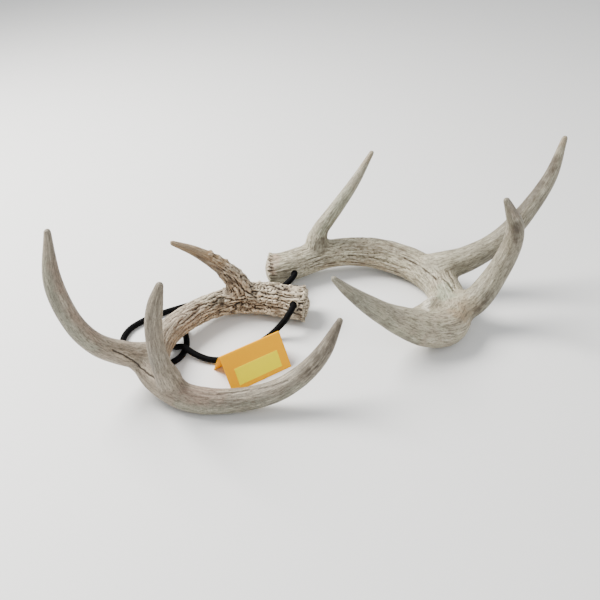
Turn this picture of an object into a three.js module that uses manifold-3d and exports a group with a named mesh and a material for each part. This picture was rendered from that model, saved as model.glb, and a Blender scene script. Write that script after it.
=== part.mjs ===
// A pair of shed deer antlers lying beside each other, tines up, tied together by one cord
// that runs through a drilled hole behind each burr, with a folded paper card beside the cord.
// Millimetres, +Z up. The origin is on the table, under the middle of the pair.

import * as THREE from 'three';
import { mergeVertices } from 'three/addons/utils/BufferGeometryUtils.js';
import Module from 'manifold-3d';

const wasm = await Module();
wasm.setup();

// Driving dimensions

const pieceGap = 0.3; // clear space between pieces that meet
const limbSides = 14; // corners of a ring round a beam
const tineSides = 12;
const beamRingStep = 9; // distance between rings along a beam
const tineRingStep = 8;

const cordDiameter = 5.8;
const cordSides = 8;
const cordStep = 10;
const holeDiameter = 7; // drilled across the base of each antler
const drillLength = 90; // the drill's cut, half of it to each side of the mouth
const knotDiameter = 13;
const knotLength = 12;

const cardWidth = 58;
const cardHeight = 29; // height of the fold above the table
const cardSpread = 36; // distance between the two feet
const cardThickness = 0.6;
const cardHeading = 23.5; // degrees from +X
const cardMiddle = [-77, -54];
const stickerSize = [42, 15];
const stickerInset = [8, 15]; // from the card's left edge, and down from the fold
const stickerThickness = 0.2;

// Burr: distance from the broken-off end, and how far the surface stands out there
// from the plain beam. The end itself is a flat seal.
const sealRadius = 9;
const burrProfile = [
  [1, -2.5],
  [2.5, 0.7],
  [4.5, 2],
  [6.5, 1.6],
  [9, 0.4],
];
const burrKnobs = 7; // low knobs round the coronet
const burrKnobHeight = 0.5;

// Each limb is a row of [x, y, z, radius] along its middle, from its root to its tip.
// Forks are distances along the beam from the seal, where one piece ends and the next begins.

const leftAntler = {
  name: 'left',
  colour: 0xb5a692,
  hole: { mouth: [-32, -5, 25], exit: [-27.5, 30, 12.8] },
  forks: [94, 197, 236],
  beam: [
    [-17, 5, 17.6, 15],
    [-28, 8.5, 17.8, 15.3],
    [-42, 16.5, 17.5, 15.4],
    [-60, 25, 16.5, 15.2],
    [-82, 28, 16, 13.6],
    [-108, 21, 17.5, 12],
    [-134, 2, 19.3, 11.6],
    [-151, -19, 19.4, 11.9],
    [-158, -44, 19, 12.1],
    [-154, -67, 15.5, 12.1],
    [-139, -86, 12, 11.5],
    [-117, -97, 11, 10.8],
    [-91, -102, 12, 9.8],
    [-64, -105, 18, 9.1],
    [-40, -104, 31, 8.4],
    [-21.5, -100, 48.5, 6.6],
    [-6.5, -93, 71.5, 2.6],
  ],
  brow: [
    [-76, 27, 18, 12],
    [-81, 29, 36, 10.5],
    [-93, 30, 55, 7.8],
    [-113, 31, 73, 5.2],
    [-133, 31, 85.3, 2.4],
  ],
  second: [
    [-157, -38, 19, 11.4],
    [-168, -48, 27, 11.2],
    [-181, -54, 37, 10.3],
    [-198, -60, 55, 8.9],
    [-210, -61, 80, 8],
    [-217, -53, 113, 7.1],
    [-215, -34.5, 146, 2.8],
  ],
  third: [
    [-145, -79, 15, 11.4],
    [-145, -84, 30, 10.4],
    [-147.3, -87, 46, 8.3],
    [-148.2, -89, 66, 7.1],
    [-146.2, -89, 88, 6.7],
    [-142, -87, 105, 6],
    [-136.5, -84, 119, 3.2],
  ],
};

const rightAntler = {
  name: 'right',
  colour: 0xbdb5a4,
  hole: { mouth: [-22, 55, 18.6], exit: [-22, 87.6, 9.3] },
  forks: [86, 197, 236],
  beam: [
    [-48, 71, 17.7, 15],
    [-37, 69.5, 18, 15.2],
    [-24, 71, 18.7, 15.3],
    [-10, 75, 19.5, 15.3],
    [12, 78, 22, 14.9],
    [36, 78, 22, 14.5],
    [60, 73, 21, 15.3],
    [82, 61, 19, 16],
    [101, 41, 17.5, 16.3],
    [112, 15, 17, 16.5],
    [113, -13, 17, 16.7],
    [109, -40, 17, 16.8],
    [96, -56, 17.6, 16.8],
    [76, -60, 23, 16],
    [56, -59, 33, 13.4],
    [38, -60, 46, 10.2],
    [19, -64, 65, 7.4],
    [4, -68, 82, 4.8],
    [-6.5, -70.7, 96, 2.6],
  ],
  brow: [
    [4, 78, 24, 12.6],
    [7, 80, 39, 10],
    [14, 83, 53, 8.3],
    [30, 89, 71, 6.9],
    [50, 98, 92, 5.2],
    [69.5, 111, 113.8, 2.6],
  ],
  second: [
    [104, 34, 19, 14.5],
    [122, 22, 29, 14],
    [143, 17, 37.5, 12.5],
    [170, 16, 53, 10.4],
    [192, 17, 78, 8.8],
    [213.5, 22, 111, 6.4],
    [223.3, 27, 145.5, 2.8],
  ],
  third: [
    [108, -37, 18, 14.5],
    [130, -37, 29, 12.6],
    [147, -33, 50, 10.4],
    [158.5, -31, 77, 8.9],
    [158, -33, 99, 7.3],
    [150.5, -36, 115, 4.9],
    [142, -41, 129.5, 2.8],
  ],
};

// The cord's middle line, from the back of the right antler to the back of the left one:
// through the right hole, along the table behind the left antler, round a loop, under the
// left beam, back over itself, past the card, and up into the left antler's hole.
const cordRoute = [
  [-22, 87.6, 9.3],
  [-22, 55, 18.6],
  [-24.2, 49.7, 19],
  [-28.6, 45.8, 17.2],
  [-36.5, 44.7, 12.5],
  [-47, 46.6, 7.2],
  [-60, 49.3, 4.3],
  [-76, 51, 3.3],
  [-112, 50.5, 3.1],
  [-155, 40, 3.1],
  [-173, 32, 3.1],
  [-187, 20, 3.1],
  [-192, 3, 3.1],
  [-185, -15.5, 3.1],
  [-171, -31, 3.1],
  [-154, -37, 3.1],
  [-140.2, -30.5, 3.1],
  [-133.6, -15.5, 3.1],
  [-133.8, -1, 3.1],
  [-136.3, 12, 3.1],
  [-141.4, 19, 3.1],
  [-149.3, 21.2, 3.1],
  [-156.6, 18, 3.1],
  [-160.5, 10.5, 3.1],
  [-159.5, 0, 3.2],
  [-153.5, -8, 3.3],
  [-144, -16, 4.8],
  [-135.5, -23.5, 9.3],
  [-126, -31.8, 6.6],
  [-114, -38.6, 3.9],
  [-101, -41, 3.2],
  [-86, -34.6, 3.1],
  [-70.5, -27.2, 3.2],
  [-57.5, -20, 5.6],
  [-48.2, -17.2, 11.8],
  [-41, -16.4, 19.4],
  [-37.6, -14.3, 23.3],
  [-34.2, -10.2, 25.2],
  [-32, -4.5, 24.8],
  [-27.5, 30, 12.8],
];

// Solids

function toSolid(geometry) {
  const bare = new THREE.BufferGeometry();
  bare.setAttribute('position', geometry.getAttribute('position').clone());
  bare.setIndex(geometry.getIndex());
  const merged = mergeVertices(bare, 1e-4);
  const vertProperties = Float32Array.from(merged.getAttribute('position').array);
  const triVerts = Uint32Array.from(merged.getIndex().array);
  return new wasm.Manifold(new wasm.Mesh({ numProp: 3, vertProperties, triVerts }));
}

function toGeometry(solid) {
  const mesh = solid.getMesh();
  const geometry = new THREE.BufferGeometry();
  geometry.setAttribute('position', new THREE.BufferAttribute(mesh.vertProperties, 3));
  geometry.setIndex(new THREE.BufferAttribute(mesh.triVerts, 1));
  geometry.computeVertexNormals();
  return geometry;
}

// A limb's middle line, with its thickness along it.
class Limb {
  constructor(stations) {
    const middle = stations.map(([x, y, z]) => new THREE.Vector3(x, y, z));
    const thickness = stations.map((station) => new THREE.Vector3(station[3], 0, 0));
    this.middle = new THREE.CatmullRomCurve3(middle, false, 'catmullrom');
    this.thickness = new THREE.CatmullRomCurve3(thickness, false, 'catmullrom');
    this.length = this.middle.getLength();
  }

  // Place, direction and plain radius at a distance from the root.
  at(distance) {
    const share = Math.min(distance / this.length, 1);
    const t = this.middle.getUtoTmapping(share);
    return {
      point: this.middle.getPoint(t),
      along: this.middle.getTangent(t),
      radius: this.thickness.getPoint(t).x,
    };
  }
}

// A closed skin over rings that each stand square to the limb.
// Each ring is { distance, radius, shift }: shift moves it along the limb's own direction.
function skinOverRings(limb, rings, sides, knobHeightAt = () => 0) {
  const vertices = [];
  const faces = [];
  let across = null;
  for (const ring of rings) {
    const { point, along } = limb.at(ring.distance);
    if (across === null) {
      across = new THREE.Vector3(0, 0, 1);
    }
    across.addScaledVector(along, -across.dot(along)).normalize();
    const side = new THREE.Vector3().crossVectors(along, across);
    const centre = point.addScaledVector(along, ring.shift ?? 0);
    for (let corner = 0; corner < sides; corner += 1) {
      const angle = (2 * Math.PI * corner) / sides;
      const reach = ring.radius + knobHeightAt(ring.distance, angle);
      const vertex = centre.clone();
      vertex.addScaledVector(across, reach * Math.cos(angle));
      vertex.addScaledVector(side, reach * Math.sin(angle));
      vertices.push(vertex.x, vertex.y, vertex.z);
    }
  }
  for (let row = 0; row + 1 < rings.length; row += 1) {
    for (let corner = 0; corner < sides; corner += 1) {
      const next = (corner + 1) % sides;
      const a = row * sides + corner;
      const b = row * sides + next;
      faces.push(a, b, a + sides, b, b + sides, a + sides);
    }
  }
  const last = (rings.length - 1) * sides;
  for (let corner = 1; corner + 1 < sides; corner += 1) {
    faces.push(0, corner + 1, corner);
    faces.push(last, last + corner, last + corner + 1);
  }
  const geometry = new THREE.BufferGeometry();
  geometry.setAttribute('position', new THREE.Float32BufferAttribute(vertices, 3));
  geometry.setIndex(faces);
  return geometry;
}

// Plain rings from one distance to another, at an even step.
function ringsBetween(limb, from, to, step, extra = 0) {
  const count = Math.max(Math.round((to - from) / step), 1);
  const rings = [];
  for (let index = 0; index <= count; index += 1) {
    const distance = from + ((to - from) * index) / count;
    rings.push({ distance, radius: limb.at(distance).radius + extra });
  }
  return rings;
}

// Two smaller rings past a limb's end make its tip blunt and round.
function tipRings(limb) {
  const { radius } = limb.at(limb.length);
  return [
    { distance: limb.length, radius: radius * 0.8, shift: radius * 0.6 },
    { distance: limb.length, radius: radius * 0.35, shift: radius * 0.93 },
  ];
}

// The coronet's rings, from the flat seal to the plain beam behind it.
function burrRings(limb) {
  const rings = [{ distance: 0, radius: sealRadius }];
  for (const [distance, standsOut] of burrProfile) {
    rings.push({ distance, radius: limb.at(distance).radius + standsOut });
  }
  return rings;
}

function burrKnobsAt(distance, angle) {
  const onCoronet = distance > 2 && distance < 8;
  return onCoronet ? burrKnobHeight * Math.cos(burrKnobs * angle) : 0;
}

// Turns a shape made along +Y so that it runs along a hole, and moves its origin to a point.
function layAlong(geometry, hole, point) {
  const direction = new THREE.Vector3(...hole.exit).sub(new THREE.Vector3(...hole.mouth));
  const turn = new THREE.Quaternion();
  turn.setFromUnitVectors(new THREE.Vector3(0, 1, 0), direction.normalize());
  geometry.applyQuaternion(turn);
  geometry.translate(...point);
  return geometry;
}

function drill(hole) {
  const radius = holeDiameter / 2;
  const geometry = new THREE.CylinderGeometry(radius, radius, drillLength, 16);
  return toSolid(layAlong(geometry, hole, hole.mouth));
}

function antlerPieces(antler) {
  const beam = new Limb(antler.beam);
  const burrEnd = burrProfile[burrProfile.length - 1][0];
  const bounds = [0, ...antler.forks, beam.length];
  const names = ['base', 'shaft', 'fore_beam', 'beam_tip'];
  const pieces = [];

  names.forEach((name, index) => {
    const from = bounds[index];
    const to = bounds[index + 1];
    const isBase = index === 0;
    const start = isBase ? burrEnd + beamRingStep / 2 : from;
    const rings = ringsBetween(beam, start, to, beamRingStep);
    if (isBase) {
      rings.unshift(...burrRings(beam));
    } else {
      rings[0].shift = pieceGap / 2;
    }
    if (to < beam.length) {
      rings[rings.length - 1].shift = -pieceGap / 2;
    } else {
      rings.push(...tipRings(beam));
    }
    let solid = toSolid(skinOverRings(beam, rings, limbSides, burrKnobsAt));
    if (isBase) {
      solid = solid.subtract(drill(antler.hole));
    }
    pieces.push({ name, solid });
  });

  // The whole beam, a little thicker, cuts each tine's root to seat on it with a gap.
  const seatRings = ringsBetween(beam, 0, beam.length, beamRingStep / 2, pieceGap + 0.15);
  const seat = toSolid(skinOverRings(beam, seatRings, limbSides * 2));
  for (const name of ['brow', 'second', 'third']) {
    const tine = new Limb(antler[name]);
    const rings = ringsBetween(tine, 0, tine.length, tineRingStep);
    rings.push(...tipRings(tine));
    const whole = toSolid(skinOverRings(tine, rings, tineSides)).subtract(seat);
    const parts = whole.decompose();
    parts.sort((a, b) => b.volume() - a.volume());
    pieces.push({ name: `${name}_tine`, solid: parts[0] });
  }
  return pieces;
}

function cordGeometry() {
  const points = cordRoute.map(([x, y, z]) => new THREE.Vector3(x, y, z));
  const path = new THREE.CatmullRomCurve3(points, false, 'centripetal');
  const section = new THREE.Shape();
  for (let corner = 0; corner < cordSides; corner += 1) {
    const angle = (2 * Math.PI * (corner + 0.5)) / cordSides;
    const x = (cordDiameter / 2) * Math.cos(angle);
    const y = (cordDiameter / 2) * Math.sin(angle);
    if (corner === 0) {
      section.moveTo(x, y);
    } else {
      section.lineTo(x, y);
    }
  }
  section.closePath();
  const steps = Math.round(path.getLength() / cordStep);
  return new THREE.ExtrudeGeometry(section, { extrudePath: path, steps, bevelEnabled: false });
}

// A stopper knot sits on the back of the antler, past the cord's end.
function knotGeometry(hole) {
  const half = knotLength / 2;
  const radius = knotDiameter / 2;
  const profile = [
    new THREE.Vector2(0, -half),
    new THREE.Vector2(radius * 0.6, -half),
    new THREE.Vector2(radius, -half * 0.4),
    new THREE.Vector2(radius, half * 0.4),
    new THREE.Vector2(radius * 0.6, half),
    new THREE.Vector2(0, half),
  ];
  const geometry = new THREE.LatheGeometry(profile, 12);
  geometry.translate(0, pieceGap + half, 0);
  return layAlong(geometry, hole, hole.exit);
}

// The card is a strip folded into a tent, in its own frame: fold along X, feet on the table.
function cardGeometry() {
  const foot = cardSpread / 2;
  const slope = Math.hypot(foot, cardHeight);
  const footInset = (cardThickness * slope) / cardHeight;
  const foldDrop = (cardThickness * slope) / foot;
  const profile = new THREE.Shape();
  profile.moveTo(-foot, 0);
  profile.lineTo(-foot + footInset, 0);
  profile.lineTo(0, cardHeight - foldDrop);
  profile.lineTo(foot - footInset, 0);
  profile.lineTo(foot, 0);
  profile.lineTo(0, cardHeight);
  profile.closePath();
  const geometry = new THREE.ExtrudeGeometry(profile, { depth: cardWidth, bevelEnabled: false });
  geometry.rotateX(Math.PI / 2);
  geometry.rotateZ(Math.PI / 2);
  geometry.translate(-cardWidth / 2, 0, 0);
  return geometry;
}

// A label on the front flap, in the card's frame.
function stickerGeometry() {
  const foot = cardSpread / 2;
  const [width, height] = stickerSize;
  const [inset, down] = stickerInset;
  const geometry = new THREE.BoxGeometry(width, stickerThickness, height);
  const middleDown = down + height / 2;
  const tilt = Math.atan2(foot, cardHeight);
  const lift = pieceGap + stickerThickness / 2;
  geometry.translate(inset + width / 2 - cardWidth / 2, -lift, -middleDown);
  geometry.rotateX(-tilt);
  geometry.translate(0, 0, cardHeight);
  return geometry;
}

function addMesh(parent, name, geometry, colour, roughness) {
  geometry.deleteAttribute('uv');
  const material = new THREE.MeshStandardMaterial({ color: colour, roughness, metalness: 0 });
  const mesh = new THREE.Mesh(geometry, material);
  mesh.name = name;
  parent.add(mesh);
  return mesh;
}

const pair = new THREE.Group();

for (const antler of [leftAntler, rightAntler]) {
  for (const { name, solid } of antlerPieces(antler)) {
    addMesh(pair, `${antler.name}_${name}`, toGeometry(solid), antler.colour, 0.75);
  }
}

const cordColour = 0x121214;
addMesh(pair, 'cord', cordGeometry(), cordColour, 0.9);
addMesh(pair, 'right_knot', knotGeometry(rightAntler.hole), cordColour, 0.9);
addMesh(pair, 'left_knot', knotGeometry(leftAntler.hole), cordColour, 0.9);

const card = new THREE.Group();
card.position.set(cardMiddle[0], cardMiddle[1], 0);
card.rotation.z = THREE.MathUtils.degToRad(cardHeading);
addMesh(card, 'card', cardGeometry(), 0xf39a1f, 0.7);
addMesh(card, 'sticker', stickerGeometry(), 0xf7e21a, 0.5);
pair.add(card);

export default pair;
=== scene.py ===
import itertools
import math
import bmesh
import bpy
import numpy as np
from mathutils import Matrix, Vector


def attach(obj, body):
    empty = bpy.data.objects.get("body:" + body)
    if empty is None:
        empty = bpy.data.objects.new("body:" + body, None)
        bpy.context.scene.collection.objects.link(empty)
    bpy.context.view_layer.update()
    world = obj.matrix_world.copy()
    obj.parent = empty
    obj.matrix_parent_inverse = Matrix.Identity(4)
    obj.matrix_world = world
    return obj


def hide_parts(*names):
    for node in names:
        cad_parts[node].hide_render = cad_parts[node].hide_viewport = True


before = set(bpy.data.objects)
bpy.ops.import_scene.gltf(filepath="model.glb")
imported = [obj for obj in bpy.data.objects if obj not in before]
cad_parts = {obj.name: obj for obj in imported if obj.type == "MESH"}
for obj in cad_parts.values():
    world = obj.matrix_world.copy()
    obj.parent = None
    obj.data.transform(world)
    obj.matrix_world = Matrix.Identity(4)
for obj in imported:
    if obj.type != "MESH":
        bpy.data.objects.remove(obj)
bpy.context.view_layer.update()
mm = 0.001
print("frame loaded")

# camera

cameraView = {
    "place": (-83.9, -469.7, 379.5),  # mm
    "heading": 7.16,  # degrees clockwise from +Y
    "depression": 36.7,
    "roll": -3.28,
    "lens": 38.23,  # mm on the 36 mm sensor
}


def makeCamera(view):
    heading = math.radians(view["heading"])
    down = math.radians(view["depression"])
    roll = math.radians(view["roll"])
    forward = Vector((
        math.sin(heading) * math.cos(down), math.cos(heading) * math.cos(down), -math.sin(down)))
    level = Vector((math.cos(heading), -math.sin(heading), 0))
    upright = level.cross(forward)
    right = level * math.cos(roll) + upright * math.sin(roll)
    up = right.cross(forward)
    camera = bpy.data.objects.new("camera", bpy.data.cameras.new("camera"))
    camera.data.lens = view["lens"]
    camera.data.sensor_width = 36
    camera.data.clip_end = 20
    turn = Matrix((right, up, -forward)).transposed()
    camera.matrix_world = Matrix.Translation(Vector(view["place"]) * mm) @ turn.to_4x4()
    bpy.context.scene.collection.objects.link(camera)
    bpy.context.scene.camera = camera


makeCamera(cameraView)

# small helpers


def feed(tree, node, inputs):  # links a socket, sets a plain value
    for key, value in inputs.items():
        if isinstance(value, bpy.types.NodeSocket):
            tree.links.new(value, node.inputs[key])
        else:
            node.inputs[key].default_value = value


def addNode(tree, kind, inputs=None, **settings):
    node = tree.nodes.new(kind)
    for name, value in settings.items():
        setattr(node, name, value)
    feed(tree, node, inputs or {})
    return node


def maths(tree, operation, *values, clamp=False):
    node = addNode(tree, "ShaderNodeMath", dict(enumerate(values)), operation=operation, use_clamp=clamp)
    return node.outputs[0]


def newObject(name, mesh):
    thing = bpy.data.objects.new(name, mesh)
    bpy.context.scene.collection.objects.link(thing)
    return thing


def plainMesh(name, vertices, faces):  # vertices in mm
    mesh = bpy.data.meshes.new(name)
    mesh.from_pydata((np.asarray(vertices) * mm).tolist(), [], faces)
    mesh.validate()
    return mesh


def settle(thing):  # turns the modifiers' result into the object's own plain mesh
    bpy.context.view_layer.update()
    graph = bpy.context.evaluated_depsgraph_get()
    mesh = bpy.data.meshes.new_from_object(thing.evaluated_get(graph))
    thing.modifiers.clear()
    thing.data = mesh
    return mesh


def readAll(items, field, width=3, kind=float):
    flat = np.empty(len(items) * width, kind)
    items.foreach_get(field, flat)
    return flat.reshape(-1, width)


def vertexPlaces(mesh):  # in mm
    return readAll(mesh.vertices, "co") / mm


def vertexNormals(mesh):
    return readAll(mesh.vertex_normals, "vector")


def shadeSmooth(mesh):
    mesh.polygons.foreach_set("use_smooth", [True] * len(mesh.polygons))
    mesh.update()


def newTree(name, inputs):  # a geometry tree; inputs are names with their kinds
    tree = bpy.data.node_groups.new(name, "GeometryNodeTree")
    for label, kind in {"Geometry": "Geometry", **inputs, "Material": "Material"}.items():
        tree.interface.new_socket(label, in_out="INPUT", socket_type="NodeSocket" + kind)
    tree.interface.new_socket("Geometry", in_out="OUTPUT", socket_type="NodeSocketGeometry")
    return tree, addNode(tree, "NodeGroupInput").outputs


def endTree(tree, geometry, material):
    solid = addNode(tree, "GeometryNodeRealizeInstances", {"Geometry": geometry})
    dressed = addNode(tree, "GeometryNodeSetMaterial", {
        "Geometry": solid.outputs["Geometry"], "Material": material})
    addNode(tree, "NodeGroupOutput", {"Geometry": dressed.outputs["Geometry"]})


def useTree(thing, tree, inputs):
    modifier = thing.modifiers.new(tree.name, "NODES")
    modifier.node_group = tree
    sockets = {s.name: s.identifier for s in tree.interface.items_tree if s.in_out == "INPUT"}
    for name, value in inputs.items():
        modifier[sockets[name]] = value


def newMaterial(name):
    material = bpy.data.materials.new(name)
    material.use_nodes = True
    return material, material.node_tree, material.node_tree.nodes["Principled BSDF"]


def objectNoise(tree, scale, detail):
    place = addNode(tree, "ShaderNodeTexCoord").outputs["Object"]
    noise = addNode(tree, "ShaderNodeTexNoise", {"Vector": place, "Scale": scale, "Detail": detail})
    return noise.outputs["Fac"]


def bumped(tree, height, strength, depth):  # depth in mm
    bump = addNode(tree, "ShaderNodeBump", {"Height": height, "Strength": strength, "Distance": depth * mm})
    return bump.outputs["Normal"]


# cord

cordShape = {
    "diameter": 5.8,
    "strands": 8,  # each way round
    "lay": 15.0,  # length of one turn of a strand
    "relief": 0.3,
    "ringStep": 0.62,
    "sides": 44,
}

# middle line from the far side of the right antler to the far side of the left one
cordRoute = [
    (-22, 87.6, 9.3), (-22, 55, 18.6), (-24.2, 49.7, 19), (-28.6, 45.8, 17.2), (-36.5, 44.7, 12.5),
    (-47, 46.6, 7.2), (-60, 49.3, 4.3), (-76, 51, 3.3), (-112, 50.5, 3.1), (-155, 40, 3.1), (-173, 32, 3.1),
    (-187, 20, 3.1), (-192, 3, 3.1), (-185, -15.5, 3.1), (-171, -31, 3.1), (-154, -37, 3.1),
    (-140.2, -30.5, 3.1), (-133.6, -15.5, 3.1), (-133.8, -1, 3.1), (-136.3, 12, 3.1), (-141.4, 19, 3.1),
    (-149.3, 21.2, 3.1), (-156.6, 18, 3.1), (-160.5, 10.5, 3.1), (-159.5, 0, 3.2), (-153.5, -8, 3.3),
    (-144, -16, 4.8), (-135.5, -23.5, 9.3), (-126, -31.8, 6.6), (-114, -38.6, 3.9), (-101, -41, 3.2),
    (-86, -34.6, 3.1), (-70.5, -27.2, 3.2), (-57.5, -20, 5.6), (-48.2, -17.2, 11.8), (-41, -16.4, 19.4),
    (-37.6, -14.3, 23.3), (-34.2, -10.2, 25.2), (-32, -4.5, 24.8), (-27.5, 30, 12.8),
]


def smoothLine(points, perSpan, power):
    # a curve through the points; a power of 0.5 keeps it from overshooting where their gaps differ much
    points = np.array(points, float)
    points = np.vstack([2 * points[0] - points[1], points, 2 * points[-1] - points[-2]])
    share = np.linspace(0, 1, perSpan, endpoint=False)[:, None]
    line = []
    for a, b, c, d in zip(points[:-3], points[1:-2], points[2:-1], points[3:]):
        ab, bc, cd = (np.linalg.norm(q - p)**power for p, q in ((a, b), (b, c), (c, d)))
        leave = bc * ((b - a) / ab - (c - a) / (ab + bc) + (c - b) / bc)
        arrive = bc * ((c - b) / bc - (d - b) / (bc + cd) + (d - c) / cd)
        gap = c - b
        line.append(b + leave * share + (3 * gap - 2 * leave - arrive) * share**2
                    + (leave + arrive - 2 * gap) * share**3)
    return np.vstack(line + [points[-2:-1]])


def evenLine(points, step):  # the same line with points at an even distance
    gone = np.r_[0, np.cumsum(np.linalg.norm(np.diff(points[:, :3], axis=0), axis=1))]
    places = np.linspace(0, gone[-1], max(round(gone[-1] / step), 1) + 1)
    columns = [np.interp(places, gone, points[:, i]) for i in range(points.shape[1])]
    return np.stack(columns, axis=1), places


def heldValue(tree, geometry, name, value):  # stays on the points, to be read further on
    node = addNode(tree, "GeometryNodeCaptureAttribute", {"Geometry": geometry}, domain="POINT")
    node.capture_items.new("FLOAT", name)
    tree.links.new(value, node.inputs[name])
    return node.outputs["Geometry"], node.outputs[name]


def braidTree():
    # curve -> round tube whose skin rises and falls as two crossing sets of strands
    tree, given = newTree("braidedCord", {
        "Diameter": "Float", "Turn Length": "Float", "Relief": "Float", "Strands": "Int", "Sides": "Int"})
    radius = maths(tree, "MULTIPLY", given["Diameter"], 0.5)
    core = maths(tree, "SUBTRACT", radius, given["Relief"])
    ring = addNode(tree, "GeometryNodeCurvePrimitiveCircle", {"Resolution": given["Sides"], "Radius": core})
    spline = addNode(tree, "GeometryNodeSplineParameter").outputs
    profile, around = heldValue(tree, ring.outputs["Curve"], "around", spline["Factor"])
    line, gone = heldValue(tree, given["Geometry"], "gone", spline["Length"])
    tube = addNode(tree, "GeometryNodeCurveToMesh", {
        "Curve": line, "Profile Curve": profile, "Fill Caps": True})
    turns = maths(tree, "DIVIDE", gone, given["Turn Length"])
    places, crowns = [], []
    for way in ("ADD", "SUBTRACT"):
        places.append(maths(tree, "MULTIPLY", maths(tree, way, around, turns), given["Strands"]))
        wave = maths(tree, "SINE", maths(tree, "MULTIPLY", places[-1], math.pi))
        crowns.append(maths(tree, "ABSOLUTE", wave))
    cells = maths(tree, "ADD", *(maths(tree, "FLOOR", place) for place in places))
    onTop = maths(tree, "FLOORED_MODULO", cells, 2)
    first = maths(tree, "MULTIPLY", crowns[0], maths(tree, "SUBTRACT", 1, onTop))
    second = maths(tree, "MULTIPLY", crowns[1], onTop)
    crowned = maths(tree, "POWER", maths(tree, "ADD", first, second), 0.6)
    ends = maths(tree, "MULTIPLY", *crowns)
    share = maths(tree, "MULTIPLY_ADD", ends, 0.4, maths(tree, "MULTIPLY", crowned, 0.6))
    height = maths(tree, "MULTIPLY", share, given["Relief"])
    normal = addNode(tree, "GeometryNodeInputNormal").outputs[0]
    offset = addNode(tree, "ShaderNodeVectorMath", {0: normal, "Scale": height}, operation="SCALE")
    moved = addNode(tree, "GeometryNodeSetPosition", {
        "Geometry": tube.outputs["Mesh"], "Offset": offset.outputs[0]})
    endTree(tree, moved.outputs["Geometry"], given["Material"])
    return tree


cordLook = {
    "dark": (0.0008, 0.0008, 0.001, 1),
    "worn": (0.003, 0.003, 0.0035, 1),
    "wear": (55, 2),  # noise: scale, detail
    "fuzz": (2600, 3),
    "bump": (0.35, 0.2),  # strength, depth in mm
    "roughness": 0.75,
    "specular": 0.07,
}


def cordMaterial():
    material, tree, shader = newMaterial("blackBraid")
    ramp = addNode(tree, "ShaderNodeValToRGB", {"Fac": objectNoise(tree, *cordLook["wear"])})
    ramp.color_ramp.elements[0].color = cordLook["dark"]
    ramp.color_ramp.elements[1].color = cordLook["worn"]
    feed(tree, shader, {
        "Base Color": ramp.outputs["Color"], "Roughness": cordLook["roughness"],
        "Specular IOR Level": cordLook["specular"],
        "Normal": bumped(tree, objectNoise(tree, *cordLook["fuzz"]), *cordLook["bump"])})
    return material


def lineCurve(name, line):
    curve = bpy.data.curves.new(name, "CURVE")
    curve.dimensions = "3D"
    spline = curve.splines.new("POLY")
    spline.points.add(len(line) - 1)
    spline.points.foreach_set("co", np.c_[line * mm, np.ones(len(line))].ravel())
    return curve


def braided(name, line, material):
    thing = newObject(name, lineCurve(name, line))
    tree = braidTree()
    useTree(thing, tree, {
        "Diameter": cordShape["diameter"] * mm, "Turn Length": cordShape["lay"] * mm,
        "Relief": cordShape["relief"] * mm, "Strands": cordShape["strands"], "Sides": cordShape["sides"],
        "Material": material})
    graph = bpy.context.evaluated_depsgraph_get()
    mesh = bpy.data.meshes.new_from_object(thing.evaluated_get(graph))
    bpy.data.objects.remove(thing)
    bpy.data.node_groups.remove(tree)
    shell = bmesh.new()
    shell.from_mesh(mesh)
    bmesh.ops.recalc_face_normals(shell, faces=shell.faces)
    shell.to_mesh(mesh)
    shell.free()
    shadeSmooth(mesh)
    return newObject(name, mesh)


knotShape = {
    "ring": 3.7,
    "tube": 2.2,
    "gap": 0.2,  # between the knot and the bone
    "turns": 0.98,  # of the closed knot, before the tail leaves it
    "tail": 7.0,
    "lean": 0.8,  # of the tail, away from the bone
    "flat": 0.76,
    "step": 0.6,
    "spins": {"right": 5.4, "left": 5.85},  # radians
}


def knotLine(mouth, exit, side):
    # an overhand knot's three lobes, square to the hole, then a short tail
    mouth, exit = Vector(mouth), Vector(exit)
    out = (exit - mouth).normalized()
    turn = out.to_track_quat("Z", "Y").to_matrix()
    ring, tube = knotShape["ring"], knotShape["tube"]
    centre = exit + out * (tube + cordShape["diameter"] / 2 + knotShape["gap"])
    line = []
    for angle in np.linspace(0, 2 * math.pi * knotShape["turns"], 90) + knotShape["spins"][side]:
        reach = ring + tube * math.cos(3 * angle)
        line.append((reach * math.cos(2 * angle), reach * math.sin(2 * angle), tube * math.sin(3 * angle)))
    end, before = Vector(line[-1]), Vector(line[-4])
    away = ((end - before).normalized() + Vector((0, 0, knotShape["lean"]))).normalized()
    for step in range(1, 10):
        line.append(tuple(end + away * knotShape["tail"] * step / 9))
    line = np.array([centre + turn @ Vector(point) for point in line])
    line[:, 2] = centre.z + knotShape["flat"] * (line[:, 2] - centre.z)
    return evenLine(line, knotShape["step"])[0]


cordFinish = cordMaterial()
cordLine, cordPlaces = evenLine(smoothLine(cordRoute, 24, 0.5), cordShape["ringStep"])
cord = braided("cordBraid", cordLine, cordFinish)
rightKnot = braided("rightKnotBraid", knotLine(cordRoute[1], cordRoute[0], "right"), cordFinish)
leftKnot = braided("leftKnotBraid", knotLine(cordRoute[-2], cordRoute[-1], "left"), cordFinish)
for piece, node in ((cord, "cord"), (rightKnot, "right_knot"), (leftKnot, "left_knot")):
    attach(piece, "root")
    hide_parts(node)
print("cord made,", round(cordPlaces[-1]), "mm")

# antlers: each is a beam and three tines, as rows of (x, y, z, radius) from root to tip

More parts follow.
